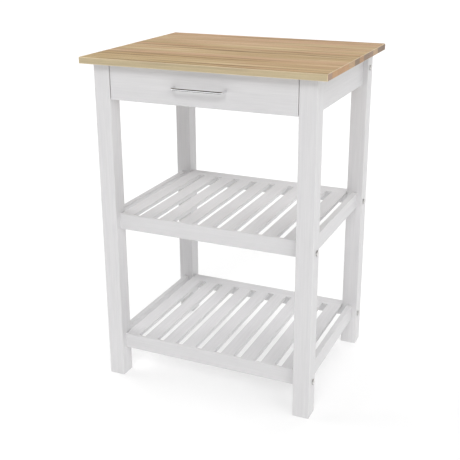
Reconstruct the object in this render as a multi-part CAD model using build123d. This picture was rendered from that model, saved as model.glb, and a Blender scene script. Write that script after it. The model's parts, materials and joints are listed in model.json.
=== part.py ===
from build123d import *
import os

# Kitchen island table: a hardwood worktop on four white square legs, with one inset
# drawer under the top and two slatted shelves.  Millimetres, +Z up, +X to the right,
# +Y to the back.  The origin is on the floor under the centre of the whole outline,
# whose front limit is the drawer pull and whose back limit is the worktop.

# ---- driving dimensions -------------------------------------------------------------
TOP_WIDTH = 610.0
TOP_DEPTH = 489.0
TOP_THICKNESS = 16.0
HEIGHT = 843.0
OVERHANG_FRONT = 21.0

LEG = 42.0
LEGS_ACROSS = 556.0
LEGS_DEEP = 452.0

APRON_HEIGHT = 84.5
APRON_THICKNESS = 15.0
CROSS_RAIL_INSET = 17.0

SHELF_BOTTOMS = {"middle": 409.5, "lower": 75.0}
RAIL_HEIGHT = 41.0
REAR_RAIL_HEIGHT = 36.0
SIDE_RAIL_THICKNESS = 15.0
CROSS_RAIL_THICKNESS = 18.0
RAIL_LIP = 4.5
SLAT_COUNT = 9
SLAT_WIDTH = 36.5
SLAT_THICKNESS = 9.0
SLAT_LEG_GAP = 1.0

DRAWER_FRONT_THICKNESS = 18.0
DRAWER_FRONT_SET_BACK = 1.0
DRAWER_REVEAL = 1.5
DRAWER_BOX_HALF_WIDTH = 229.0
DRAWER_BOX_LENGTH = 374.0
DRAWER_BOX_BOTTOM = 752.0
DRAWER_BOX_HEIGHT = 53.0
DRAWER_WALL = 12.0
DRAWER_PANEL = 4.0
DRAWER_PANEL_RISE = 6.0
DRAWER_PANEL_GROOVE = 6.0

RUNNER_HEIGHT = 12.0
RUNNER_RISE = 20.0
RUNNER_GROOVE = 6.0
RUNNER_PLAY = 0.3
RUNNER_TIP_GAP = 0.5
RUNNER_END_GAP = 1.0

PULL_WIRE = 6.0
PULL_CENTRES = 128.0
PULL_STAND_OFF = 23.0
PULL_BEND = 10.0

# ---- joinery and fasteners ----------------------------------------------------------
EASE = 1.5
EASE_SLAT = 1.0
EASE_FRONT_RAIL = 3.0
EASE_TOP = 2.5
EASE_CORNER = 3.0
FIT = 0.05

BOLT_DIAMETER = 6.0
BOLT_HOLE = 7.0
BOLT_HEAD = 14.0
BOLT_HEAD_HEIGHT = 3.0
BOLT_HEAD_ROUND = 1.6
BOLT_SOCKET = 4.0
BOLT_SOCKET_DEPTH = 2.0
BOLT_REACH = 37.0
BOLT_RISE = 14.0
NUT_DIAMETER = 10.0
NUT_LENGTH = 14.0
NUT_SET_IN = 32.0
NUT_BORE_MARGIN = 1.5

DOWEL_DIAMETER = 8.0
DOWEL_IN_LEG = 12.0
DOWEL_IN_RAIL = 16.0
DOWEL_END_GAP = 0.5
SIDE_DOWEL_RISES = (10.5, 30.5)
APRON_DOWEL_RISES = (14.0, 42.0, 70.0)
REAR_APRON_DOWEL_RISES = (20.0, 64.0)
CROSS_DOWEL_RISE = 24.5

CLEAT = 18.0
FRONT_TOP_RAIL_DEPTH = 20.0
FRONT_TOP_RAIL_GAP = 1.0
SCREW_DIAMETER = 4.0
SCREW_HEAD = 8.0
SCREW_HEAD_HEIGHT = 2.2
SCREW_GRIP = 10.0
SCREW_END_MARGIN = 40.0

BRAD_DIAMETER = 1.6
BRAD_LENGTH = 20.0
BRAD_SUNK = 1.0

CAM_DIAMETER = 12.0
CAM_DEPTH = 10.0
CAM_SET_BACK = 24.0
CAM_RISE = 43.0
CAM_BOLT = 6.0
CAM_BOLT_GRIP = 11.0
CAM_CROSS = (8.0, 1.6, 1.2)
DRAWER_DOWEL = 6.0
DRAWER_DOWEL_RISE = 14.0
DRAWER_DOWEL_REACH = 12.0
BACK_SCREW_RISES = (16.0, 40.0)
BACK_SCREW_GRIP = 20.0
PULL_SCREW = 4.0
PULL_SCREW_HEAD = 8.0
PULL_SCREW_HEAD_HEIGHT = 2.6
PULL_SCREW_GRIP = 9.0

# ---- planes worked out from them ----------------------------------------------------
PULL_PAST_TOP = (PULL_STAND_OFF + PULL_WIRE / 2) - (OVERHANG_FRONT + DRAWER_FRONT_SET_BACK)
OUTLINE_DEPTH = TOP_DEPTH + PULL_PAST_TOP
TOP_FRONT = -OUTLINE_DEPTH / 2 + PULL_PAST_TOP
TOP_BACK = TOP_FRONT + TOP_DEPTH
TOP_UNDERSIDE = HEIGHT - TOP_THICKNESS

LEG_FRONT = TOP_FRONT + OVERHANG_FRONT
LEG_BACK = LEG_FRONT + LEGS_DEEP
LEG_OUTER = LEGS_ACROSS / 2
LEG_INNER = LEG_OUTER - LEG
BAY_FRONT = LEG_FRONT + LEG
BAY_BACK = LEG_BACK - LEG

SIDE_OUTER = LEG_OUTER - (LEG - SIDE_RAIL_THICKNESS) / 2
SIDE_INNER = SIDE_OUTER - SIDE_RAIL_THICKNESS
SIDE_MIDDLE = (SIDE_OUTER + SIDE_INNER) / 2
APRON_BOTTOM = TOP_UNDERSIDE - APRON_HEIGHT

FRONT_RAIL_OUTER = LEG_FRONT + CROSS_RAIL_INSET
FRONT_RAIL_INNER = FRONT_RAIL_OUTER + CROSS_RAIL_THICKNESS
REAR_RAIL_OUTER = LEG_BACK - CROSS_RAIL_INSET
REAR_RAIL_INNER = REAR_RAIL_OUTER - CROSS_RAIL_THICKNESS
APRON_REAR_INNER = REAR_RAIL_OUTER - APRON_THICKNESS

SLAT_FRONT = FRONT_RAIL_OUTER + RAIL_LIP
SLAT_BACK = REAR_RAIL_OUTER - RAIL_LIP
CROSS_SLAT_FRONT = SLAT_BACK - SLAT_WIDTH
CROSS_SLAT_HALF_LENGTH = LEG_INNER - SLAT_LEG_GAP

DRAWER_FACE = LEG_FRONT + DRAWER_FRONT_SET_BACK
DRAWER_FRONT_BACK = DRAWER_FACE + DRAWER_FRONT_THICKNESS
DRAWER_BOX_END = DRAWER_FRONT_BACK + DRAWER_BOX_LENGTH
DRAWER_BOX_TOP = DRAWER_BOX_BOTTOM + DRAWER_BOX_HEIGHT
DRAWER_INNER = DRAWER_BOX_HALF_WIDTH - DRAWER_WALL
PANEL_BOTTOM = DRAWER_BOX_BOTTOM + DRAWER_PANEL_RISE
RUNNER_BOTTOM = DRAWER_BOX_BOTTOM + RUNNER_RISE
RUNNER_TIP = DRAWER_BOX_HALF_WIDTH - RUNNER_GROOVE + RUNNER_TIP_GAP
RUNNER_FRONT = BAY_FRONT + RUNNER_END_GAP
RUNNER_BACK = BAY_BACK - RUNNER_END_GAP
PULL_HEIGHT = (APRON_BOTTOM + TOP_UNDERSIDE) / 2
CLEAT_BOTTOM = TOP_UNDERSIDE - CLEAT
CLEAT_MIDDLE = SIDE_INNER - CLEAT / 2
FRONT_TOP_RAIL_FRONT = DRAWER_FRONT_BACK + FRONT_TOP_RAIL_GAP

SIDES = {"left": -1, "right": 1}


# ---- shapes used again and again ----------------------------------------------------
def board(x, y, z):
    """A square-edged board that fills the given low and high limits on each axis."""
    middle = [(low + high) / 2 for low, high in (x, y, z)]
    size = [abs(high - low) for low, high in (x, y, z)]
    return Pos(*middle) * Box(*size)


def mirrored(side, low, high):
    """Limits in X for a piece on one side, given as distances from the middle plane."""
    return tuple(sorted((side * low, side * high)))


def rod(start, end, diameter):
    """A round bar from one point to another."""
    span = Vector(*end) - Vector(*start)
    disc = Plane(origin=start, z_dir=span)
    return disc * Cylinder(diameter / 2, span.length, align=(Align.CENTER, Align.CENTER, Align.MIN))


def eased(solid, axis, radius, keep=None):
    """Round the edges that run along an axis, or only those that keep() picks."""
    edges = solid.edges().filter_by(axis)
    if keep is not None:
        edges = edges.filter_by(keep)
    return fillet(edges, radius)


def touches(first, second):
    """Whether the boxes round two solids meet."""
    a = first.bounding_box()
    b = second.bounding_box()
    return (a.min.X < b.max.X and b.min.X < a.max.X
            and a.min.Y < b.max.Y and b.min.Y < a.max.Y
            and a.min.Z < b.max.Z and b.min.Z < a.max.Z)


def drilled(solid, cutters):
    """The solid with every cutter that reaches it taken away."""
    near = [cutter for cutter in cutters if touches(solid, cutter)]
    return solid - near if near else solid


def countersunk_screw(start, end):
    """A wood screw from the middle of its flat head to its tip."""
    axis = (Vector(*end) - Vector(*start)).normalized()
    neck = Vector(*start) + axis * SCREW_HEAD_HEIGHT
    head_plane = Plane(origin=start, z_dir=axis)
    head = head_plane * Cone(SCREW_HEAD / 2, SCREW_DIAMETER / 2, SCREW_HEAD_HEIGHT,
                             align=(Align.CENTER, Align.CENTER, Align.MIN))
    return head + rod(tuple(neck), end, SCREW_DIAMETER)


def countersunk_bore(start, end):
    """The hole for countersunk_screw, a little larger all round."""
    axis = (Vector(*end) - Vector(*start)).normalized()
    head_plane = Plane(origin=start, z_dir=axis)
    sink = head_plane * Cone(SCREW_HEAD / 2 + FIT, SCREW_DIAMETER / 2 + FIT, SCREW_HEAD_HEIGHT + FIT,
                             align=(Align.CENTER, Align.CENTER, Align.MIN))
    return sink + rod(start, tuple(Vector(*end) + axis * FIT), SCREW_DIAMETER + 2 * FIT)


# ---- fasteners and the holes they need ----------------------------------------------
def frame_bolt_places():
    """Side, Y and Z of each bolt that pulls a cross rail or the rear apron to a leg."""
    rail_ys = ((FRONT_RAIL_OUTER + FRONT_RAIL_INNER) / 2, (REAR_RAIL_OUTER + REAR_RAIL_INNER) / 2)
    places = [(side, y, bottom + BOLT_RISE)
              for bottom in SHELF_BOTTOMS.values() for y in rail_ys for side in SIDES.values()]
    apron_y = (REAR_RAIL_OUTER + APRON_REAR_INNER) / 2
    places += [(side, apron_y, APRON_BOTTOM + APRON_HEIGHT / 2) for side in SIDES.values()]
    return places


def frame_bolt(side, y, z):
    """A bolt with a low domed head and a hexagon socket, driven in from the leg's outer face."""
    face = side * LEG_OUTER
    head_top = side * (LEG_OUTER + BOLT_HEAD_HEIGHT)
    head = rod((face, y, z), (head_top, y, z), BOLT_HEAD)
    head = fillet(head.edges().sort_by(Axis.X)[-1 if side > 0 else 0], BOLT_HEAD_ROUND)
    socket_plane = Plane(origin=(head_top, y, z), z_dir=(-side, 0, 0))
    socket = extrude(socket_plane * RegularPolygon(BOLT_SOCKET / 2, 6), BOLT_SOCKET_DEPTH)
    shank = rod((face, y, z), (side * (LEG_INNER - BOLT_REACH), y, z), BOLT_DIAMETER)
    return head - socket + shank


def frame_bolt_bore(side, y, z):
    return rod((side * LEG_OUTER, y, z), (side * (LEG_INNER - BOLT_REACH - FIT), y, z), BOLT_HOLE)


def barrel_nut(side, y, z):
    """A cross dowel nut: a short steel cylinder across the rail, threaded for the bolt."""
    x = side * (LEG_INNER - NUT_SET_IN)
    nut = rod((x, y - NUT_LENGTH / 2, z), (x, y + NUT_LENGTH / 2, z), NUT_DIAMETER)
    thread = rod((x - NUT_DIAMETER, y, z), (x + NUT_DIAMETER, y, z), BOLT_DIAMETER + 2 * FIT)
    return nut - thread


def barrel_nut_bore(side, y, z):
    """The nut's hole, open on the rail's inner face and blind towards its outer face."""
    x = side * (LEG_INNER - NUT_SET_IN)
    inward = 1 if y < 0 else -1
    blind_end = y - inward * (NUT_LENGTH / 2 + FIT)
    open_end = y + inward * (CROSS_RAIL_THICKNESS / 2 + NUT_BORE_MARGIN)
    return rod((x, blind_end, z), (x, open_end, z), NUT_DIAMETER + 2 * FIT)


def dowel(start, end, diameter=DOWEL_DIAMETER):
    return rod(start, end, diameter)


def dowel_bore(start, end, diameter=DOWEL_DIAMETER):
    """The dowel's hole, with a little room for glue at both ends."""
    axis = (Vector(*end) - Vector(*start)).normalized() * DOWEL_END_GAP
    return rod(tuple(Vector(*start) - axis), tuple(Vector(*end) + axis), diameter + 2 * FIT)


def side_frame_dowel_ends():
    """Ends of the dowels that join side rails and side aprons to the legs, along Y."""
    heights = [bottom + rise for bottom in SHELF_BOTTOMS.values() for rise in SIDE_DOWEL_RISES]
    heights += [APRON_BOTTOM + rise for rise in APRON_DOWEL_RISES]
    ends = []
    for side in SIDES.values():
        for z in heights:
            x = side * SIDE_MIDDLE
            ends.append(((x, BAY_FRONT - DOWEL_IN_LEG, z), (x, BAY_FRONT + DOWEL_IN_RAIL, z)))
            ends.append(((x, BAY_BACK + DOWEL_IN_LEG, z), (x, BAY_BACK - DOWEL_IN_RAIL, z)))
    return ends


def cross_rail_dowel_ends():
    """Ends of the dowels that locate the cross rails and the rear apron on the legs, along X."""
    rail_ys = ((FRONT_RAIL_OUTER + FRONT_RAIL_INNER) / 2, (REAR_RAIL_OUTER + REAR_RAIL_INNER) / 2)
    places = [(y, bottom + CROSS_DOWEL_RISE) for bottom in SHELF_BOTTOMS.values() for y in rail_ys]
    apron_y = (REAR_RAIL_OUTER + APRON_REAR_INNER) / 2
    places += [(apron_y, APRON_BOTTOM + rise) for rise in REAR_APRON_DOWEL_RISES]
    places += [(FRONT_TOP_RAIL_FRONT + FRONT_TOP_RAIL_DEPTH / 2, CLEAT_BOTTOM + CLEAT / 2)]
    return [((side * (LEG_INNER + DOWEL_IN_LEG), y, z), (side * (LEG_INNER - DOWEL_IN_RAIL), y, z))
            for y, z in places for side in SIDES.values()]


def top_screw_ends():
    """Screws up into the worktop, and sideways from each cleat into its apron."""
    ys = [BAY_FRONT + SCREW_END_MARGIN, (BAY_FRONT + BAY_BACK) / 2, BAY_BACK - SCREW_END_MARGIN]
    tip_z = TOP_UNDERSIDE + SCREW_GRIP
    ends = []
    for side in SIDES.values():
        for y in ys:
            ends.append(((side * CLEAT_MIDDLE, y, CLEAT_BOTTOM), (side * CLEAT_MIDDLE, y, tip_z)))
            head_y = y + SCREW_END_MARGIN / 2
            head = (side * (SIDE_INNER - CLEAT), head_y, CLEAT_BOTTOM + CLEAT / 2)
            ends.append((head, (side * (SIDE_INNER + SCREW_GRIP), head_y, CLEAT_BOTTOM + CLEAT / 2)))
    rail_y = FRONT_TOP_RAIL_FRONT + FRONT_TOP_RAIL_DEPTH / 2
    rail_x = LEG_INNER / 2
    ends += [((side * rail_x, rail_y, CLEAT_BOTTOM), (side * rail_x, rail_y, tip_z))
             for side in SIDES.values()]
    return ends


def runner_screw_ends():
    """Screws from the inner edge of each drawer runner into its side apron."""
    ys = [RUNNER_FRONT + SCREW_END_MARGIN, (RUNNER_FRONT + RUNNER_BACK) / 2,
          RUNNER_BACK - SCREW_END_MARGIN]
    z = RUNNER_BOTTOM + RUNNER_HEIGHT / 2
    return [((side * RUNNER_TIP, y, z), (side * (SIDE_INNER + SCREW_GRIP), y, z))
            for side in SIDES.values() for y in ys]


def slat_middles():
    """X of each slat's centre line; the outer slats clear the legs."""
    first = -(CROSS_SLAT_HALF_LENGTH - SLAT_WIDTH / 2)
    pitch = -2 * first / (SLAT_COUNT - 1)
    return [first + pitch * number for number in range(SLAT_COUNT)]


def brad_ends():
    """Headless pins, one at each end of each slat, set below the surface and filled over."""
    ledge_ys = ((SLAT_FRONT + FRONT_RAIL_INNER) / 2, (SLAT_BACK + REAR_RAIL_INNER) / 2)
    ends = []
    for bottom in SHELF_BOTTOMS.values():
        top = bottom + RAIL_HEIGHT - BRAD_SUNK
        ends += [((x, y, top), (x, y, top - BRAD_LENGTH)) for x in slat_middles() for y in ledge_ys]
    return ends


BOLTS = frame_bolt_places()
SIDE_DOWELS = side_frame_dowel_ends()
CROSS_DOWELS = cross_rail_dowel_ends()
TOP_SCREWS = top_screw_ends()
RUNNER_SCREWS = runner_screw_ends()
BRADS = brad_ends()

FRAME_BORES = [frame_bolt_bore(*place) for place in BOLTS]
FRAME_BORES += [barrel_nut_bore(*place) for place in BOLTS]
FRAME_BORES += [dowel_bore(*ends) for ends in SIDE_DOWELS + CROSS_DOWELS]
FRAME_BORES += [countersunk_bore(*ends) for ends in TOP_SCREWS + RUNNER_SCREWS]
BRAD_BORES = [rod(start, (end[0], end[1], end[2] - FIT), BRAD_DIAMETER + 2 * FIT)
              for start, end in BRADS]


# ---- worktop, legs and aprons -------------------------------------------------------
def worktop():
    """Edge-glued hardwood panel with rounded corners and eased edges."""
    panel = board((-TOP_WIDTH / 2, TOP_WIDTH / 2), (TOP_FRONT, TOP_BACK), (TOP_UNDERSIDE, HEIGHT))
    panel = eased(panel, Axis.Z, EASE_CORNER)
    panel = fillet(panel.faces().sort_by(Axis.Z)[-1].edges(), EASE_TOP)
    panel = fillet(panel.faces().sort_by(Axis.Z)[0].edges(), EASE)
    return drilled(panel, FRAME_BORES)


def leg(side, front):
    y = (LEG_FRONT, BAY_FRONT) if front else (BAY_BACK, LEG_BACK)
    post = board(mirrored(side, LEG_INNER, LEG_OUTER), y, (0, TOP_UNDERSIDE))
    post = eased(post, Axis.Z, EASE)
    post = chamfer(post.faces().sort_by(Axis.Z)[0].edges(), EASE_SLAT)
    return drilled(post, FRAME_BORES)


def side_apron(side):
    apron = board(mirrored(side, SIDE_INNER, SIDE_OUTER), (BAY_FRONT, BAY_BACK),
                  (APRON_BOTTOM, TOP_UNDERSIDE))
    apron = fillet(apron.edges().filter_by(Axis.Y).group_by(Axis.Z)[0], EASE)
    return drilled(apron, FRAME_BORES)


def rear_apron():
    apron = board((-LEG_INNER, LEG_INNER), (APRON_REAR_INNER, REAR_RAIL_OUTER),
                  (APRON_BOTTOM, TOP_UNDERSIDE))
    apron = fillet(apron.edges().filter_by(Axis.X).group_by(Axis.Z)[0], EASE)
    return drilled(apron, FRAME_BORES)


def front_top_rail():
    """Flat tie under the worktop, behind the drawer front."""
    tie = board((-LEG_INNER, LEG_INNER),
                (FRONT_TOP_RAIL_FRONT, FRONT_TOP_RAIL_FRONT + FRONT_TOP_RAIL_DEPTH),
                (CLEAT_BOTTOM, TOP_UNDERSIDE))
    return drilled(tie, FRAME_BORES)


def top_cleat(side):
    """Square batten inside a side apron, which the worktop is screwed down to."""
    batten = board(mirrored(side, SIDE_INNER - CLEAT, SIDE_INNER),
                   (RUNNER_FRONT, RUNNER_BACK), (CLEAT_BOTTOM, TOP_UNDERSIDE))
    return drilled(batten, FRAME_BORES)


def drawer_runner(side):
    """Hardwood strip on a side apron, which the grooved drawer side slides along."""
    strip = board(mirrored(side, RUNNER_TIP, SIDE_INNER), (RUNNER_FRONT, RUNNER_BACK),
                  (RUNNER_BOTTOM, RUNNER_BOTTOM + RUNNER_HEIGHT))
    return drilled(strip, FRAME_BORES)


# ---- shelves ------------------------------------------------------------------------
def cross_rail(bottom, front):
    """Front or rear shelf rail, rabbeted along its inner top edge to carry the slats."""
    top = bottom + RAIL_HEIGHT
    if front:
        outer, inner, lip = FRONT_RAIL_OUTER, FRONT_RAIL_INNER, SLAT_FRONT
        low, top_ease = bottom, EASE_FRONT_RAIL
    else:
        outer, inner, lip = REAR_RAIL_OUTER, REAR_RAIL_INNER, SLAT_BACK
        low, top_ease = top - REAR_RAIL_HEIGHT, EASE
    rail = board((-LEG_INNER, LEG_INNER), sorted((outer, inner)), (low, top))
    middle = (low + top) / 2
    rail = eased(rail, Axis.X, top_ease,
                 lambda edge: abs(edge.center().Y - outer) < FIT and edge.center().Z > middle)
    rail = eased(rail, Axis.X, EASE,
                 lambda edge: abs(edge.center().Y - outer) < FIT and edge.center().Z < middle)
    rabbet = board((-LEG_OUTER, LEG_OUTER), sorted((lip, inner)), (top - SLAT_THICKNESS, top))
    return drilled(rail - rabbet, FRAME_BORES + BRAD_BORES)


def side_rail(bottom, side):
    rail = board(mirrored(side, SIDE_INNER, SIDE_OUTER), (BAY_FRONT, BAY_BACK),
                 (bottom, bottom + RAIL_HEIGHT))
    rail = eased(rail, Axis.Y, EASE)
    return drilled(rail, FRAME_BORES)


def slat(bottom, x):
    """One shelf slat, from front to back, half-lapped at its rear end under the cross slat."""
    top = bottom + RAIL_HEIGHT
    strip = board((x - SLAT_WIDTH / 2, x + SLAT_WIDTH / 2), (SLAT_FRONT, SLAT_BACK),
                  (top - SLAT_THICKNESS, top))
    strip = fillet(strip.edges().filter_by(Axis.Y).group_by(Axis.Z)[-1], EASE_SLAT)
    lap = board((x - SLAT_WIDTH, x + SLAT_WIDTH), (CROSS_SLAT_FRONT, SLAT_BACK),
                (top - SLAT_THICKNESS / 2, top))
    return drilled(strip - lap, BRAD_BORES)


def cross_slat(bottom):
    """Thin slat across the rear ends of the others, flush with them and with the rear rail."""
    top = bottom + RAIL_HEIGHT
    strip = board((-CROSS_SLAT_HALF_LENGTH, CROSS_SLAT_HALF_LENGTH), (CROSS_SLAT_FRONT, SLAT_BACK),
                  (top - SLAT_THICKNESS / 2, top))
    return drilled(strip, BRAD_BORES)


# ---- drawer -------------------------------------------------------------------------
def cam_places():
    return [(side, APRON_BOTTOM + CAM_RISE + (DRAWER_BOX_BOTTOM - APRON_BOTTOM))
            for side in SIDES.values()]


def cam_lock(side, z):
    """Round cam, flush with the inner face of the drawer side, with a cross slot to turn it."""
    y = DRAWER_FRONT_BACK + CAM_SET_BACK
    face = side * DRAWER_INNER
    disc = rod((face, y, z), (side * (DRAWER_INNER + CAM_DEPTH - FIT), y, z), CAM_DIAMETER)
    length, width, depth = CAM_CROSS
    slot = Pos(face, y, z) * Box(2 * depth, length, width)
    slot += Pos(face, y, z) * Box(2 * depth, width, length)
    return disc - slot


def cam_bore(side, z):
    y = DRAWER_FRONT_BACK + CAM_SET_BACK
    return rod((side * DRAWER_INNER, y, z), (side * (DRAWER_INNER + CAM_DEPTH), y, z),
               CAM_DIAMETER + 2 * FIT)


def cam_bolt_ends(side, z):
    """From inside the drawer front back to the edge of the cam."""
    x = side * (DRAWER_INNER + DRAWER_WALL / 2)
    near_cam = DRAWER_FRONT_BACK + CAM_SET_BACK - CAM_DIAMETER / 2 - DOWEL_END_GAP
    return (x, DRAWER_FRONT_BACK - CAM_BOLT_GRIP, z), (x, near_cam, z)


def drawer_dowel_ends():
    z = DRAWER_BOX_BOTTOM + DRAWER_DOWEL_RISE
    return [((side * (DRAWER_INNER + DRAWER_WALL / 2), DRAWER_FRONT_BACK - DRAWER_DOWEL_REACH, z),
             (side * (DRAWER_INNER + DRAWER_WALL / 2), DRAWER_FRONT_BACK + DRAWER_DOWEL_REACH, z))
            for side in SIDES.values()]


def back_screw_ends():
    y = DRAWER_BOX_END - DRAWER_WALL / 2
    return [((side * DRAWER_BOX_HALF_WIDTH, y, DRAWER_BOX_BOTTOM + rise),
             (side * (DRAWER_INNER - BACK_SCREW_GRIP), y, DRAWER_BOX_BOTTOM + rise))
            for side in SIDES.values() for rise in BACK_SCREW_RISES]


def pull_screw(x):
    """Pan-head machine screw through the drawer front into one foot of the pull."""
    shank = rod((x, DRAWER_FRONT_BACK, PULL_HEIGHT), (x, DRAWER_FACE - PULL_SCREW_GRIP, PULL_HEIGHT),
                PULL_SCREW)
    head_back = DRAWER_FRONT_BACK + PULL_SCREW_HEAD_HEIGHT
    head = rod((x, DRAWER_FRONT_BACK, PULL_HEIGHT), (x, head_back, PULL_HEIGHT), PULL_SCREW_HEAD)
    head = fillet(head.edges().sort_by(Axis.Y)[-1], EASE_SLAT)
    return shank + head


def pull_screw_bore(x):
    return rod((x, DRAWER_FRONT_BACK, PULL_HEIGHT),
               (x, DRAWER_FACE - PULL_SCREW_GRIP - FIT, PULL_HEIGHT), PULL_SCREW + 2 * FIT)


CAMS = cam_places()
DRAWER_DOWELS = drawer_dowel_ends()
BACK_SCREWS = back_screw_ends()
PULL_XS = (-PULL_CENTRES / 2, PULL_CENTRES / 2)

DRAWER_BORES = [cam_bore(*place) for place in CAMS]
DRAWER_BORES += [dowel_bore(*cam_bolt_ends(*place), CAM_BOLT) for place in CAMS]
DRAWER_BORES += [dowel_bore(*ends, DRAWER_DOWEL) for ends in DRAWER_DOWELS]
DRAWER_BORES += [countersunk_bore(*ends) for ends in BACK_SCREWS]
DRAWER_BORES += [pull_screw_bore(x) for x in PULL_XS]


def drawer_front():
    """Inset front, as high as the aprons, with eased edges all round its face."""
    half = LEG_INNER - DRAWER_REVEAL
    panel = board((-half, half), (DRAWER_FACE, DRAWER_FRONT_BACK),
                  (APRON_BOTTOM, TOP_UNDERSIDE - DRAWER_REVEAL))
    panel = fillet(panel.faces().sort_by(Axis.Y)[0].edges(), EASE)
    groove = board((-DRAWER_INNER, DRAWER_INNER),
                   (DRAWER_FRONT_BACK - DRAWER_PANEL_GROOVE, DRAWER_FRONT_BACK),
                   (PANEL_BOTTOM - FIT, PANEL_BOTTOM + DRAWER_PANEL + FIT))
    return drilled(panel - groove, DRAWER_BORES)


def drawer_side(side):
    """Side with a groove outside for the runner, stopped at the front, and one inside for the panel."""
    wall = board(mirrored(side, DRAWER_INNER, DRAWER_BOX_HALF_WIDTH),
                 (DRAWER_FRONT_BACK, DRAWER_BOX_END), (DRAWER_BOX_BOTTOM, DRAWER_BOX_TOP))
    wall = fillet(wall.edges().filter_by(Axis.Y).group_by(Axis.Z)[-1], EASE)
    runner_groove = board(mirrored(side, DRAWER_BOX_HALF_WIDTH - RUNNER_GROOVE, DRAWER_BOX_HALF_WIDTH),
                          (RUNNER_FRONT - RUNNER_END_GAP, DRAWER_BOX_END),
                          (RUNNER_BOTTOM - RUNNER_PLAY, RUNNER_BOTTOM + RUNNER_HEIGHT + RUNNER_PLAY))
    panel_groove = board(mirrored(side, DRAWER_INNER, DRAWER_INNER + DRAWER_PANEL_GROOVE),
                         (DRAWER_FRONT_BACK, DRAWER_BOX_END),
                         (PANEL_BOTTOM - FIT, PANEL_BOTTOM + DRAWER_PANEL + FIT))
    return drilled(wall - runner_groove - panel_groove, DRAWER_BORES)


def drawer_back():
    """Back between the sides, above the bottom panel."""
    wall = board((-DRAWER_INNER, DRAWER_INNER), (DRAWER_BOX_END - DRAWER_WALL, DRAWER_BOX_END),
                 (PANEL_BOTTOM + DRAWER_PANEL + FIT, DRAWER_BOX_TOP))
    wall = fillet(wall.edges().filter_by(Axis.X).group_by(Axis.Z)[-1], EASE)
    return drilled(wall, DRAWER_BORES)


def drawer_bottom():
    """Thin panel in the grooves of the front and the sides, passing under the back."""
    reach = DRAWER_PANEL_GROOVE - DOWEL_END_GAP
    return board((-DRAWER_INNER - reach, DRAWER_INNER + reach),
                 (DRAWER_FRONT_BACK, DRAWER_BOX_END),
                 (PANEL_BOTTOM, PANEL_BOTTOM + DRAWER_PANEL))


def drawer_pull():
    """Wire pull: one round bar with both ends bent back to the drawer front."""
    left, right = PULL_XS
    out = DRAWER_FACE - PULL_STAND_OFF
    path = FilletPolyline((left, DRAWER_FACE, PULL_HEIGHT), (left, out, PULL_HEIGHT),
                          (right, out, PULL_HEIGHT), (right, DRAWER_FACE, PULL_HEIGHT),
                          radius=PULL_BEND)
    section = Plane(origin=path @ 0, z_dir=path % 0) * Circle(PULL_WIRE / 2)
    return drilled(sweep(section, path=path), DRAWER_BORES)


# ---- every node ---------------------------------------------------------------------
def shelf_nodes(level, bottom):
    nodes = {}
    for name, front in (("front", True), ("rear", False)):
        nodes[f"{level}_shelf_{name}_rail"] = cross_rail(bottom, front)
    for name, side in SIDES.items():
        nodes[f"{level}_shelf_{name}_rail"] = side_rail(bottom, side)
    for number, x in enumerate(slat_middles(), start=1):
        nodes[f"{level}_shelf_slat_{number:02d}"] = slat(bottom, x)
    nodes[f"{level}_shelf_cross_slat"] = cross_slat(bottom)
    return nodes


def frame_nodes():
    nodes = {"worktop": worktop(), "apron_rear": rear_apron(), "front_top_rail": front_top_rail()}
    for name, side in SIDES.items():
        nodes[f"leg_front_{name}"] = leg(side, True)
        nodes[f"leg_rear_{name}"] = leg(side, False)
        nodes[f"apron_{name}"] = side_apron(side)
        nodes[f"top_cleat_{name}"] = top_cleat(side)
        nodes[f"drawer_runner_{name}"] = drawer_runner(side)
    for level, bottom in SHELF_BOTTOMS.items():
        nodes.update(shelf_nodes(level, bottom))
    nodes["frame_bolts"] = [frame_bolt(*place) for place in BOLTS]
    nodes["barrel_nuts"] = [barrel_nut(*place) for place in BOLTS]
    nodes["side_frame_dowels"] = [dowel(*ends) for ends in SIDE_DOWELS]
    nodes["cross_rail_dowels"] = [dowel(*ends) for ends in CROSS_DOWELS]
    nodes["worktop_screws"] = [countersunk_screw(*ends) for ends in TOP_SCREWS]
    nodes["runner_screws"] = [countersunk_screw(*ends) for ends in RUNNER_SCREWS]
    nodes["slat_brads"] = [rod(*ends, BRAD_DIAMETER) for ends in BRADS]
    return nodes


def drawer_nodes():
    nodes = {"drawer_front": drawer_front(), "drawer_back": drawer_back(),
             "drawer_bottom": drawer_bottom(), "drawer_pull": drawer_pull()}
    for name, side in SIDES.items():
        nodes[f"drawer_side_{name}"] = drawer_side(side)
    nodes["drawer_cam_locks"] = [cam_lock(*place) for place in CAMS]
    nodes["drawer_cam_bolts"] = [dowel(*cam_bolt_ends(*place), CAM_BOLT) for place in CAMS]
    nodes["drawer_dowels"] = [dowel(*ends, DRAWER_DOWEL) for ends in DRAWER_DOWELS]
    nodes["drawer_back_screws"] = [countersunk_screw(*ends) for ends in BACK_SCREWS]
    nodes["drawer_pull_screws"] = [pull_screw(x) for x in PULL_XS]
    return nodes


def write(name, shape):
    """One STEP file for one node; a list of like solids is written as one group."""
    if isinstance(shape, list):
        shape = Compound(children=[solid for piece in shape for solid in piece.solids()])
    export_step(shape, f"parts/{name}.step")


os.makedirs("parts", exist_ok=True)
for node_name, node_shape in {**frame_nodes(), **drawer_nodes()}.items():
    write(node_name, node_shape)
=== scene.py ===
"""Finishes, studio and camera for the kitchen island: a white slatted frame under a butcher-block worktop.

Lengths are in metres in the model's own frame: +X right, +Y back, +Z up. Every CAD part keeps its shape and
gets a procedural finish that is worked out from its own coordinates, so that the grain rides with the part.
"""

import json
from math import cos, pi, radians, sin

import bpy
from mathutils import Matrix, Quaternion, Vector


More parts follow.
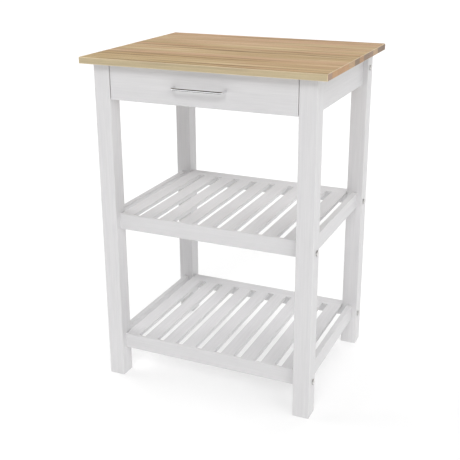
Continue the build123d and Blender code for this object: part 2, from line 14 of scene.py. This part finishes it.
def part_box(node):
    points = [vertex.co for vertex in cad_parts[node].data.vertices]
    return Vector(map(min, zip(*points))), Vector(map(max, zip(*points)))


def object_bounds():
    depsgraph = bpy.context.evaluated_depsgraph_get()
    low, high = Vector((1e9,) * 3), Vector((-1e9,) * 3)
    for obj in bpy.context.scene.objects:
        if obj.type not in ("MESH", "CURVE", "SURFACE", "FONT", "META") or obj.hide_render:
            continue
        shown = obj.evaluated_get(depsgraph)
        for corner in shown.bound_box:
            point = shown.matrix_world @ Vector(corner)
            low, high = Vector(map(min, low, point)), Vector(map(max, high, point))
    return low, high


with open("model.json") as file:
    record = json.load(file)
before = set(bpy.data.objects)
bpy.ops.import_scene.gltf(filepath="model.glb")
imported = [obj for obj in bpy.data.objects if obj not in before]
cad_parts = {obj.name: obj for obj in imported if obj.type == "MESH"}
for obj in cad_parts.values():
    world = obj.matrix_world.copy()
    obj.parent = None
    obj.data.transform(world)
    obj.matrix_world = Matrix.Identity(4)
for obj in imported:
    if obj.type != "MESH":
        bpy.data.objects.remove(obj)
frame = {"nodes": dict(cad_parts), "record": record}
cad_low, cad_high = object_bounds()

# Camera: where the photograph was taken from, and how its lens is set
CAMERA_PLACE = Vector((0.8013, -1.8503, 1.1384))
CAMERA_AZIMUTH, CAMERA_ELEVATION, CAMERA_ROLL = 24.07, 18.60, -0.28
CAMERA_LENS, CAMERA_SENSOR, CAMERA_RISE = 63.92, 36.0, -0.07

# Studio
FLOOR_REACH = 30.0
FLOOR_GLOW = 0.42
WHITE = (1.0, 1.0, 1.0, 1.0)
AMBIENT = 0.12
# The wall that metal reflects: its height, with straight up as 1, and how far above and below it fades out
WALL_MIDDLE, WALL_FADE, WALL_END = -0.25, 0.38, 0.55
WALL_GLOW, CEILING_GLOW = 1.22, 0.036
# Each lamp: azimuth, elevation and spread in degrees, then the brightness of a white card that faces it
LAMPS = {
    "front_light": (10, 40, 22, 0.29),
    "front_right_light": (50, 30, 40, 0.28),
    "right_light": (92, 50, 40, 0.2),
    "left_light": (262, 30, 60, 0.58),
    "back_light": (180, 40, 60, 0.36),
}

# Butcher block. Patterns of three numbers are so many per metre: along the grain, then the two ways across
STAVE_WIDTH = 0.042
STAVE_UNEVENNESS, STAVE_RHYTHM = 0.004, 57.0
STAVE_LOT, STAVE_SHIFT = 3.0, 37.0
GLUE_LINE = 0.0009
END_GRAIN = 0.0006
STREAKS = (3.0, 72.0, 72.0)
CLOUDS = (3.0, 14.0, 14.0)
TOP_LOW, TOP_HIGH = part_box("worktop")
TOP_MIDDLE, TOP_HALF = (TOP_HIGH.y + TOP_LOW.y) / 2, (TOP_HIGH.y - TOP_LOW.y) / 2
TOP_THICKNESS = TOP_HIGH.z - TOP_LOW.z

# Boards
# How far in from an edge the boards show wear; on the worktop this band also carries a painted highlight
EDGE_WEAR_AND_HIGHLIGHT = 0.0022
GOLDEN = 0.618034
PAINT_SHIFT, PINE_SHIFT = 91.7, 53.1
RING_DRIFT = (2.3, 5.0, 5.0)
PINE_CLOUDS = (4.0, 20.0, 20.0)
PLY_SWIRL = (3.2, 11.0, 0.0)
PLIES = 3.0
SEAL_RISE = 0.0004

# Metals: tint, smoothest and roughest patch, fine marks per metre and their depth
METALS = {
    "polished_pull": ((0.86, 0.86, 0.87), (0.04, 0.1), 2600.0, 0.000015),
    "plated_steel": ((0.66, 0.65, 0.63), (0.22, 0.36), 1500.0, 0.00004),
}
POLISHING = 60.0


class Nodes:
    """Short calls for adding nodes to one node tree."""

    def __init__(self, tree):
        self.tree = tree

    def feed(self, socket, value):
        if isinstance(value, bpy.types.NodeSocket):
            self.tree.links.new(value, socket)
        else:
            socket.default_value = value

    def node(self, kind, inputs=None, **settings):
        """A new node. inputs maps a socket's name or number to a value or to another node's output."""
        made = self.tree.nodes.new("ShaderNode" + kind)
        for setting, value in settings.items():
            setattr(made, setting, value)
        for socket, value in (inputs or {}).items():
            self.feed(made.inputs[socket], value)
        return made

    def math(self, operation, a, b=0.0):
        return self.node("Math", {0: a, 1: b}, operation=operation).outputs[0]

    def add(self, a, b):
        return self.math("ADD", a, b)

    def times(self, a, b):
        return self.math("MULTIPLY", a, b)

    def around(self, value, low, high):
        """Turns a pattern from 0 to 1 into one from low to high."""
        return self.add(self.times(value, high - low), low)

    def step(self, value, low, high):
        """0 below low and 1 above high, with a smooth change between. high may be the smaller of the two."""
        settings = {"interpolation_type": "SMOOTHSTEP"}
        rising = {"Value": value, "From Min": min(low, high), "From Max": max(low, high)}
        ends = {"To Min": float(low > high), "To Max": float(low < high)}
        return self.node("MapRange", {**rising, **ends}, **settings).outputs["Result"]

    def vector(self, operation, a, b=(0.0, 0.0, 0.0)):
        return self.node("VectorMath", {0: a, 1: b}, operation=operation).outputs[0]

    def split(self, vector):
        return self.node("SeparateXYZ", {0: vector}).outputs[:]

    def join(self, x, y, z):
        return self.node("CombineXYZ", {0: x, 1: y, 2: z}).outputs[0]

    def stretched(self, place, per_metre, shift=0.0):
        """A place in pattern lengths, so many per metre along each axis, shifted along the first axis."""
        longer = self.vector("MULTIPLY", self.join(*place), per_metre)
        return self.vector("ADD", longer, self.join(shift, 0.0, 0.0))

    def noise(self, vector, scale=1.0, detail=3.0, roughness=0.5, distortion=0.0):
        inputs = {"Vector": vector, "Scale": scale, "Detail": detail, "Roughness": roughness}
        return self.node("TexNoise", {**inputs, "Distortion": distortion}).outputs["Fac"]

    def bands(self, value, detail=2.0):
        """Noise along one number, such as the radius of a growth ring."""
        inputs = {"W": value, "Scale": 1.0, "Detail": detail}
        return self.node("TexNoise", inputs, noise_dimensions="1D").outputs["Fac"]

    def lot(self, value):
        """Three random numbers that stay the same wherever value does."""
        return self.split(self.node("TexWhiteNoise", {"W": value}, noise_dimensions="1D").outputs["Color"])

    def blend(self, factor, a, b):
        made = self.node("Mix", {"Factor": factor}, data_type="RGBA")
        for socket, value in (("A_Color", a), ("B_Color", b)):
            self.feed(next(i for i in made.inputs if i.identifier == socket), value)
        return next(o for o in made.outputs if o.identifier == "Result_Color")

    def shade(self, colour, amount):
        """The colour, made darker or lighter by amount, which is 1 for no change."""
        return self.node("VectorMath", {0: colour, "Scale": amount}, operation="SCALE").outputs[0]

    def ramp(self, factor, *stops, stepped=False):
        made = self.node("ValToRGB", {0: factor})
        made.color_ramp.interpolation = "CONSTANT" if stepped else "LINEAR"
        points = made.color_ramp.elements
        while len(points) < len(stops):
            points.new(1.0)
        for point, (place, colour) in zip(points, stops):
            point.position = place
            point.color = (*colour, 1.0)
        return made.outputs["Color"]

    def bump(self, height, depth, strength=1.0, over=None):
        inputs = {"Height": height, "Distance": depth, "Strength": strength}
        return self.node("Bump", {**inputs, **({"Normal": over} if over else {})}).outputs["Normal"]


class Finish(Nodes):
    """One procedural material, with the patterns that several materials share."""

    def __init__(self, name, **uniform):
        self.material = bpy.data.materials.new(name)
        self.material.use_nodes = True
        super().__init__(self.material.node_tree)
        self.shader = self.tree.nodes["Principled BSDF"]
        self.surface(**uniform)

    def surface(self, **inputs):
        """Feeds the shader: surface(Base_Color=..., Roughness=...)."""
        for socket, value in inputs.items():
            self.feed(self.shader.inputs[socket.replace("_", " ")], value)

    def place(self):
        return self.node("TexCoord").outputs["Object"]

    def own(self, name):
        """A property of the object that wears the finish, so that one finish varies from board to board."""
        return self.node("Attribute", attribute_type="OBJECT", attribute_name=name)

    def board(self, grain):
        """Along the grain, the two ways across it, and the distance to the nearest edge, on any one board."""
        inside = self.vector("SUBTRACT", self.place(), self.own("board_middle").outputs["Vector"])
        half = self.own("board_half").outputs["Vector"]
        a, b, c = self.split(self.vector("SUBTRACT", half, self.vector("ABSOLUTE", inside)))
        nearest = self.math("MINIMUM", a, b)
        middling = self.math("MINIMUM", self.math("MAXIMUM", a, b), c)
        edge = self.math("MAXIMUM", nearest, middling)
        place = self.split(inside)
        turn = "XYZ".index(grain)
        return (*(place[(turn + k) % 3] for k in range(3)), edge)

    def rings(self, along, across, through, pith, spacing, wander):
        """Growth rings round a pith that runs beside or under the board, wandering along its length."""
        drift = self.noise(self.stretched((along, across, through), RING_DRIFT), detail=2.0)
        sideways = self.add(across, pith[0])
        depth = self.add(self.add(through, pith[1]), self.times(drift, wander))
        square = self.add(self.times(sideways, sideways), self.times(depth, depth))
        return self.bands(self.times(self.math("SQRT", square), 1.0 / spacing), 3.0)

    def fibres(self, along, across, through, shift, length, width, detail=3.0):
        """Fine lines with the grain, of about that length and width, shifted from board to board."""
        per_metre = (1.0 / length, 1.0 / width, 1.0 / width)
        return self.noise(self.stretched((along, across, through), per_metre, shift), detail=detail)


def white_paint(grain):
    """Satin white paint, thin enough for the wood under it to show as faint lines."""
    paint = Finish("white_paint_" + grain.lower(), Specular_IOR_Level=0.45)
    along, across, through, edge = paint.board(grain)
    own = paint.own("board_number").outputs["Fac"]
    shift = paint.times(own, PAINT_SHIFT)
    tone = paint.lot(own)[0]
    lines = paint.fibres(along, across, through, shift, 0.06, 0.0018)
    figure = paint.fibres(along, across, through, shift, 0.2, 0.0065, 2.0)
    cloud = paint.noise(paint.join(paint.add(along, shift), across, through), scale=26.0, detail=2.0)
    shade = paint.times(paint.around(lines, 0.93, 1.06), paint.around(figure, 0.94, 1.05))
    shade = paint.times(shade, paint.around(cloud, 0.985, 1.015))
    shade = paint.times(shade, paint.around(tone, 0.985, 1.015))
    worn = paint.times(paint.step(edge, EDGE_WEAR_AND_HIGHLIGHT, 0.0), paint.around(cloud, 0.05, 0.35))
    colour = paint.blend(worn, (0.70, 0.693, 0.70, 1.0), (0.77, 0.75, 0.72, 1.0))
    orange_peel = paint.noise(paint.place(), scale=900.0, detail=2.0)
    normal = paint.bump(paint.add(lines, paint.times(figure, 1.5)), 0.00012, 0.5)
    paint.surface(
        Base_Color=paint.shade(colour, shade),
        Roughness=paint.add(paint.around(cloud, 0.34, 0.46), paint.times(lines, 0.06)),
        Normal=paint.bump(orange_peel, 0.00005, 0.35, over=normal),
    )
    return paint.material


def hardwood_top(grain):
    """Oiled butcher block: staves glued edge to edge, each cut from another log."""
    wood = Finish("hardwood_top", Specular_IOR_Level=0.35, Coat_Weight=0.04, Coat_Roughness=0.3)
    x, y, z = wood.split(wood.place())
    along, _, _, edge = wood.board(grain)
    end = wood.step(wood.math("ABSOLUTE", along), cad_high.x - END_GRAIN, cad_high.x - END_GRAIN * 0.5)
    sway = wood.times(wood.math("SINE", wood.times(y, STAVE_RHYTHM)), STAVE_UNEVENNESS)
    counted = wood.times(wood.add(y, sway), 1.0 / STAVE_WIDTH)
    stave = wood.math("FLOOR", counted)
    lot_a, lot_b, lot_c = wood.lot(wood.add(stave, STAVE_LOT))
    inside = wood.times(wood.add(wood.math("FRACT", counted), -0.5), STAVE_WIDTH)
    shift = wood.times(lot_b, STAVE_SHIFT)
    pith = (wood.around(lot_b, -0.05, 0.05), wood.around(lot_c, 0.015, 0.07))
    rings = wood.rings(wood.add(x, shift), inside, wood.add(z, -cad_high.z), pith, 0.0032, 0.02)
    streaks = wood.noise(wood.stretched((x, y, z), STREAKS, shift), detail=3.0, roughness=0.55)
    cloud = wood.noise(wood.stretched((x, y, z), CLOUDS, shift), detail=2.0)
    fibres = wood.fibres(x, y, z, shift, 0.028, 0.0009)
    pores = wood.step(wood.fibres(x, y, z, shift, 0.006, 0.00035, 1.0), 0.6, 0.72)
    base = wood.ramp(
        lot_a,
        (0.0, (0.49, 0.36, 0.18)),
        (0.22, (0.40, 0.26, 0.12)),
        (0.4, (0.46, 0.325, 0.165)),
        (0.58, (0.47, 0.30, 0.165)),
        (0.78, (0.37, 0.235, 0.105)),
        (1.0, (0.53, 0.40, 0.22)),
    )
    rosy = wood.blend(wood.times(wood.step(cloud, 0.46, 0.66), 0.7), base, (0.46, 0.27, 0.15, 1.0))
    heart = wood.times(wood.step(streaks, 0.5, 0.66), wood.around(lot_c, 0.4, 0.95))
    warm = wood.blend(heart, rosy, (0.23, 0.13, 0.045, 1.0))
    pale = wood.blend(wood.times(wood.step(streaks, 0.46, 0.3), 0.7), warm, (0.57, 0.45, 0.27, 1.0))
    sawn = wood.ramp(
        wood.lot(wood.add(stave, STAVE_LOT * 2.0))[1],
        (0.0, (0.58, 0.35, 0.25)),
        (0.3, (0.17, 0.10, 0.05)),
        (0.6, (0.52, 0.27, 0.10)),
        (1.0, (0.46, 0.36, 0.22)),
    )
    pale = wood.blend(wood.times(end, 0.9), pale, sawn)
    to_side = wood.math("ABSOLUTE", wood.add(y, -TOP_MIDDLE))
    sanded = wood.step(to_side, TOP_HALF - END_GRAIN, TOP_HALF - END_GRAIN * 0.5)
    pale = wood.blend(wood.times(sanded, 0.65), pale, (0.47, 0.41, 0.28, 1.0))
    under = wood.step(z, cad_high.z - TOP_THICKNESS + END_GRAIN, cad_high.z - TOP_THICKNESS)
    shade = wood.times(wood.around(rings, 0.9, 1.38), wood.around(fibres, 0.92, 1.08))
    shade = wood.times(shade, wood.around(pores, 1.0, 0.84))
    shade = wood.times(shade, wood.around(end, 1.0, 0.8))
    off_centre = wood.math("ABSOLUTE", wood.add(wood.math("FRACT", counted), -0.5))
    seam = wood.times(wood.math("SUBTRACT", 0.5, off_centre), STAVE_WIDTH)
    tight = wood.lot(wood.math("FLOOR", wood.add(counted, 0.5)))[0]
    line = wood.times(wood.step(seam, GLUE_LINE, GLUE_LINE * 0.3), wood.around(tight, 0.15, 0.9))
    shade = wood.times(shade, wood.around(line, 1.0, 0.4))
    # The worktop's eased edges are lightened: a little sanded wear, and mostly a painted highlight where the
    # rounding catches the light
    edge_wear_and_highlight = wood.times(wood.step(edge, EDGE_WEAR_AND_HIGHLIGHT, 0.0), wood.around(fibres, 0.5, 1.0))
    colour = wood.blend(edge_wear_and_highlight, pale, (0.86, 0.76, 0.58, 1.0))
    colour = wood.blend(wood.times(under, 0.8), colour, (0.6, 0.57, 0.53, 1.0))
    raised = wood.times(wood.add(rings, fibres), 0.6)
    height = wood.math("SUBTRACT", raised, wood.add(pores, line))
    wood.surface(
        Base_Color=wood.shade(colour, shade),
        Roughness=wood.add(wood.around(fibres, 0.4, 0.52), wood.times(pores, 0.15)),
        Normal=wood.bump(height, 0.00012, 0.6),
    )
    return wood.material


def bare_wood(grain):
    """Unfinished pine, as on the drawer box, the cleats and the rails behind the drawer front."""
    pine = Finish("bare_wood_" + grain.lower(), Specular_IOR_Level=0.3)
    along, across, through, edge = pine.board(grain)
    own = pine.own("board_number").outputs["Fac"]
    lot_a, lot_b, lot_c = pine.lot(own)
    shift = pine.times(own, PINE_SHIFT)
    pith = (pine.around(lot_a, -0.06, 0.06), pine.around(lot_b, 0.02, 0.08))
    rings = pine.step(pine.rings(pine.add(along, shift), across, through, pith, 0.0045, 0.03), 0.42, 0.7)
    fibres = pine.fibres(along, across, through, shift, 0.03, 0.0008)
    cloud = pine.noise(pine.stretched((along, across, through), PINE_CLOUDS, shift))
    sap = pine.blend(cloud, (0.74, 0.56, 0.34, 1.0), (0.66, 0.475, 0.275, 1.0))
    colour = pine.blend(pine.times(rings, 0.7), sap, (0.50, 0.30, 0.13, 1.0))
    worn = pine.times(pine.step(edge, EDGE_WEAR_AND_HIGHLIGHT, 0.0), 0.25)
    colour = pine.blend(worn, colour, (0.55, 0.42, 0.28, 1.0))
    shade = pine.times(pine.around(fibres, 0.92, 1.08), pine.around(lot_c, 0.94, 1.04))
    pine.surface(
        Base_Color=pine.shade(colour, shade),
        Roughness=pine.around(fibres, 0.6, 0.75),
        Normal=pine.bump(pine.add(fibres, pine.times(rings, -0.5)), 0.00015, 0.6),
    )
    return pine.material


def drawer_panel(grain):
    """Thin plywood: a rotary-cut face with broad rings, and three plies along its edges."""
    ply = Finish("drawer_panel", Specular_IOR_Level=0.35)
    low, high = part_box("drawer_bottom")
    along, across, through, edge = ply.board(grain)
    swirl = ply.noise(ply.stretched((along, across, through), PLY_SWIRL), detail=2.0, distortion=0.6)
    rings = ply.bands(ply.times(swirl, 34.0), 1.0)
    fibres = ply.fibres(along, across, through, 0.0, 0.02, 0.0007)
    thickness = high.z - low.z
    layer = ply.math("FLOOR", ply.times(ply.add(through, thickness / 2), PLIES / thickness))
    crossed = ply.times(ply.math("COMPARE", layer, 1.0), ply.step(edge, 0.0002, 0.0))
    face = ply.blend(ply.times(rings, 0.5), (0.74, 0.66, 0.54, 1.0), (0.64, 0.54, 0.40, 1.0))
    colour = ply.blend(ply.times(crossed, 0.8), face, (0.40, 0.27, 0.15, 1.0))
    sealed = ply.step(through, SEAL_RISE - thickness / 2, -thickness / 2)
    colour = ply.blend(ply.times(sealed, ply.around(fibres, 0.8, 1.0)), colour, (0.70, 0.69, 0.69, 1.0))
    ply.surface(
        Base_Color=ply.shade(colour, ply.around(fibres, 0.92, 1.08)),
        Roughness=ply.around(fibres, 0.5, 0.66),
        Normal=ply.bump(fibres, 0.0001, 0.5),
    )
    return ply.material


def metal(name, tint, roughness, brushing, depth):
    """A plated metal, with fine marks from polishing and handling: so many per metre, and how deep."""
    plate = Finish(name, Metallic=1.0)
    place = plate.place()
    smear = plate.noise(place, scale=60.0)
    marks = plate.noise(plate.stretched(plate.split(place), (POLISHING, brushing, brushing)), detail=4.0)
    colour = plate.blend(smear, (*(c * 0.96 for c in tint), 1.0), (*tint, 1.0))
    plate.surface(
        Base_Color=colour,
        Roughness=plate.add(plate.around(smear, *roughness), plate.times(marks, 0.05)),
        Normal=plate.bump(marks, depth, 0.3),
    )
    return plate.material


def dress_parts():
    """Gives every CAD part the finish of its material slot, with the grain along its longest side."""
    woods = {
        "white_paint": white_paint,
        "bare_wood": bare_wood,
        "hardwood_top": hardwood_top,
        "drawer_panel": drawer_panel,
    }
    made = {name: metal(name, *METALS[name]) for name in METALS}
    for number, part in enumerate(sorted(frame["record"]["subparts"], key=lambda part: part["node"])):
        node = frame["nodes"][part["node"]]
        low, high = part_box(part["node"])
        size = high - low
        grain = "XYZ"[max(range(3), key=lambda axis: size[axis])]
        node["board_middle"] = list((low + high) / 2)
        node["board_half"] = list(size / 2)
        node["board_number"] = number * GOLDEN % 1.0
        kind = part["material_slot"]
        worn = (kind, grain) if kind in woods else kind
        if worn not in made:
            made[worn] = woods[kind](grain)
        for slot in node.material_slots:
            slot.material = made[worn]


def towards(azimuth, elevation):
    """The direction from the object at these degrees: azimuth 0 is in front, 90 on the right."""
    turn, rise = radians(azimuth), radians(elevation)
    return Vector((sin(turn) * cos(rise), -cos(turn) * cos(rise), sin(rise)))


def soft_lamp(name, azimuth, elevation, spread, level):
    """A distant lamp, spread degrees wide, that polished parts don't show: they reflect the room instead."""
    data = bpy.data.lights.new(name, "SUN")
    data.angle = radians(spread)
    data.energy = level * pi
    lamp = bpy.data.objects.new(name, data)
    lamp.visible_glossy = False
    lamp.rotation_mode = "QUATERNION"
    lamp.rotation_quaternion = towards(azimuth, elevation).to_track_quat("Z", "Y")
    bpy.context.scene.collection.objects.link(lamp)


def white_room():
    """An even white glow, but polished parts find a bright band of wall between dark above and dark below."""
    world = bpy.data.worlds.new("studio_room")
    world.use_nodes = True
    room = Nodes(world.node_tree)
    room.tree.nodes.clear()
    seen = room.node("LightPath").outputs
    height = room.split(room.node("TexCoord").outputs["Generated"])[2]
    wall = room.step(room.math("ABSOLUTE", room.add(height, -WALL_MIDDLE)), WALL_END, WALL_FADE)
    reflected = room.around(wall, CEILING_GLOW, WALL_GLOW)
    extra = room.times(seen["Is Glossy Ray"], room.add(reflected, -AMBIENT))
    ambient = room.node("Background", {"Color": WHITE, "Strength": room.add(extra, AMBIENT)})
    backdrop = room.node("Background", {"Color": WHITE})
    ways = {0: seen["Is Camera Ray"], 1: ambient.outputs[0], 2: backdrop.outputs[0]}
    room.node("OutputWorld", {"Surface": room.node("MixShader", ways).outputs[0]})
    bpy.context.scene.world = world


def light_studio():
    """Soft lamps from every side, strongest on the left, in a white room."""
    for name, lamp in LAMPS.items():
        soft_lamp(name, *lamp)
    white_room()
    bpy.context.scene.view_settings.view_transform = "Standard"


def lay_floor():
    """A plain pale floor, wider than every view, that glows a little like a light table."""
    mesh = bpy.data.meshes.new("floor")
    corners = [(x * FLOOR_REACH, y * FLOOR_REACH, 0) for x, y in ((-1, -1), (1, -1), (1, 1), (-1, 1))]
    mesh.from_pydata(corners, [], [(0, 1, 2, 3)])
    pale = Finish("pale_floor", Specular_IOR_Level=0.2, Emission_Color=WHITE, Emission_Strength=FLOOR_GLOW)
    cloud = pale.noise(pale.place(), scale=3.0, detail=4.0)
    pale.surface(
        Base_Color=pale.blend(cloud, (0.60, 0.60, 0.60, 1.0), (0.62, 0.62, 0.62, 1.0)),
        Roughness=pale.around(cloud, 0.8, 0.9),
    )
    mesh.materials.append(pale.material)
    floor = bpy.data.objects.new("floor", mesh)
    bpy.context.scene.collection.objects.link(floor)
    floor.visible_glossy = False


def place_camera():
    """The photograph's view: from the front and a little to the right, above the worktop."""
    data = bpy.data.cameras.new("camera")
    data.lens, data.sensor_width, data.shift_y = CAMERA_LENS, CAMERA_SENSOR, CAMERA_RISE
    camera = bpy.data.objects.new("camera", data)
    camera.location = CAMERA_PLACE
    level = towards(CAMERA_AZIMUTH, CAMERA_ELEVATION).to_track_quat("Z", "Y")
    camera.rotation_mode = "QUATERNION"
    camera.rotation_quaternion = level @ Quaternion((0, 0, 1), radians(CAMERA_ROLL))
    bpy.context.scene.collection.objects.link(camera)
    bpy.context.scene.camera = camera


dress_parts()
lay_floor()
light_studio()
place_camera()
